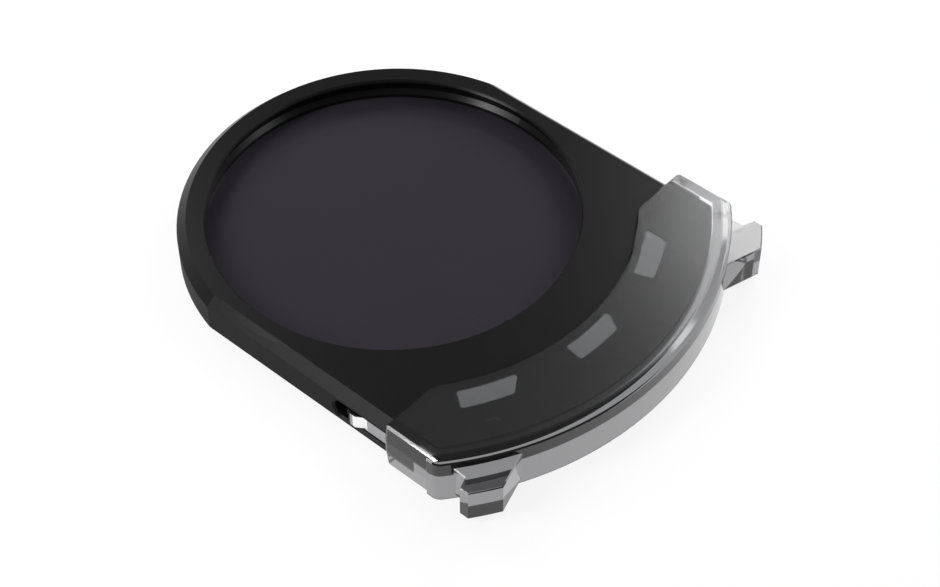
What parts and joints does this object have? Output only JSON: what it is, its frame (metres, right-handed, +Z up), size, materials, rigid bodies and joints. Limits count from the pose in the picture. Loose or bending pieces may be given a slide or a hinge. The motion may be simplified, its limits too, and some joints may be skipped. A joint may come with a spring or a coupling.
{
  "type": "drop-in neutral density filter",
  "caption": "Round neutral density filter in a slim black metal frame with a clear moulded handle, which slides into a lens mount adapter.",
  "frame": {"origin": "centre of the round opening, on the frame's top face", "axes": "+Z up out of the top face along the optical axis, -Y towards the handle (the way the filter is pulled out), +X to the right"},
  "size_m": [0.0466, 0.0582, 0.0057],
  "materials": {
    "frame_metal": "matt black anodised",
    "tinted_glass": "polished, dark grey tint",
    "ring_metal": "matt black anodised",
    "clear_plastic": "clear, moulded",
    "spring_steel": "bright rolled strip"
  },
  "bodies": {
    "root": {"filter_frame": "frame_metal", "nd_glass": "tinted_glass", "retaining_ring": "ring_metal", "clear_handle": "clear_plastic", "leaf_spring_left": "spring_steel", "leaf_spring_right": "spring_steel"}
  },
  "joints": []
}
